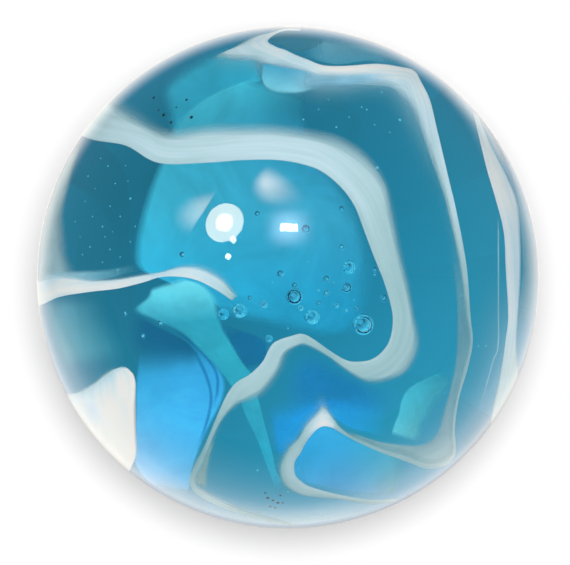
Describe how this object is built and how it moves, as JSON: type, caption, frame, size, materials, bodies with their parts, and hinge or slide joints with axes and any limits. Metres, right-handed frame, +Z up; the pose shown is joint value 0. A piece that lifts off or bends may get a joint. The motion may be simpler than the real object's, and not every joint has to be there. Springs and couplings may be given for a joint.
{
  "type": "glass marble",
  "caption": "Round playing marble of clear aqua glass, with opaque white glass swirled through its skin and thin veils of it inside.",
  "frame": {"origin": "centre of the ball", "axes": "+Z up, from the point that the ball rests on through its centre; +Y towards the side where the white swirls come closest to the rim; +X to the right of that"},
  "size_m": [0.016, 0.016, 0.016],
  "materials": {
    "aqua_glass": "polished",
    "white_glass": "polished"
  },
  "bodies": {
    "root": {"glass_ball": "aqua_glass", "white_swirls": "white_glass"}
  },
  "joints": []
}
